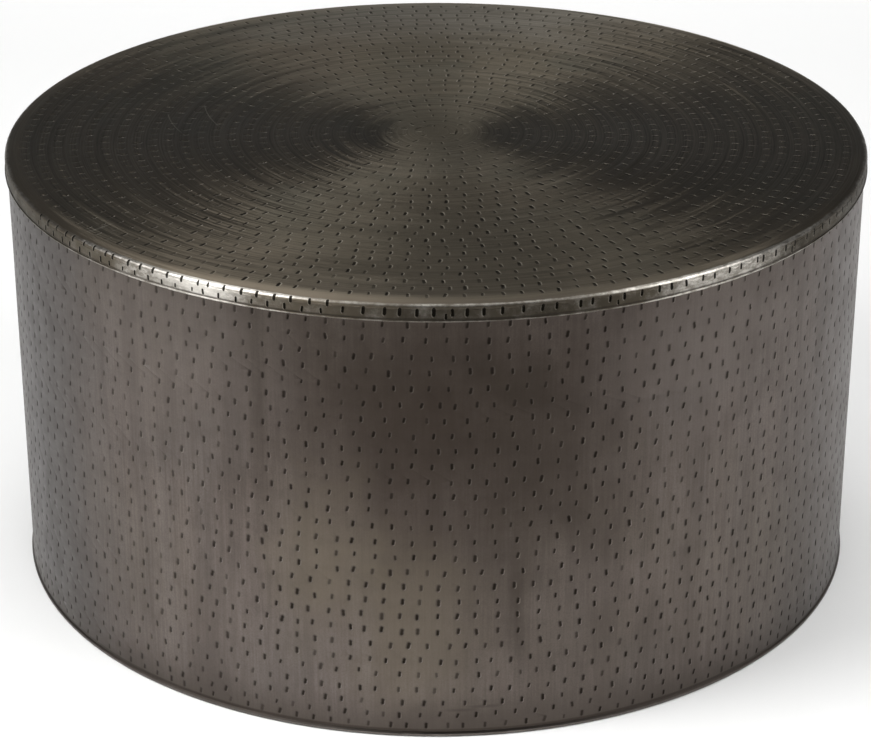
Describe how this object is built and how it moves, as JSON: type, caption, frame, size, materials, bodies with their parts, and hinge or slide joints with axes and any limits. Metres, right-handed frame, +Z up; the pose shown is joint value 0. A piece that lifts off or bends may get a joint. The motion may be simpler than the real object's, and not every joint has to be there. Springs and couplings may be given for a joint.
{
  "type": "drum coffee table",
  "caption": "Round sheet-metal drum table with a punched surface, wired edges, a hollow storage drum and a lift-off lid.",
  "frame": {"origin": "on the floor, under the middle of the drum", "axes": "+Z up along the drum's axis, -Y towards the front as pictured, with the seam of the sheet at the back, near +Y"},
  "size_m": [0.7619, 0.762, 0.39],
  "materials": {
    "punched_sheet": "dark antique pewter patina over sheet steel, punched all over with small upright slits",
    "punched_lid": "dark antique pewter patina, spun and brushed in rings, worn bright along the shoulder",
    "bare_wire": "bare drawn wire inside the rolled edges",
    "frame_bar": "dark painted mild steel bar",
    "stained_board": "fibreboard sealed in a black stain",
    "zinc_screw": "zinc-plated",
    "felt": "black felt strip"
  },
  "bodies": {
    "drum": {"drum_wall": "punched_sheet", "rim_wire": "bare_wire", "foot_wire": "bare_wire", "rim_hoop": "frame_bar", "base_ring": "frame_bar", "upright_front": "frame_bar", "upright_right": "frame_bar", "upright_left": "frame_bar", "seam_strap": "frame_bar", "floor_panel": "stained_board", "panel_screws": "zinc_screw"},
    "lid": {"lid_skin": "punched_lid", "lid_board": "stained_board", "lid_felt_ring": "felt"}
  },
  "joints": [
    {"name": "lid_lift", "type": "slide", "parent": "drum", "child": "lid", "axis": [0, 0, 1], "range_m": [0, 0.4]}
  ]
}
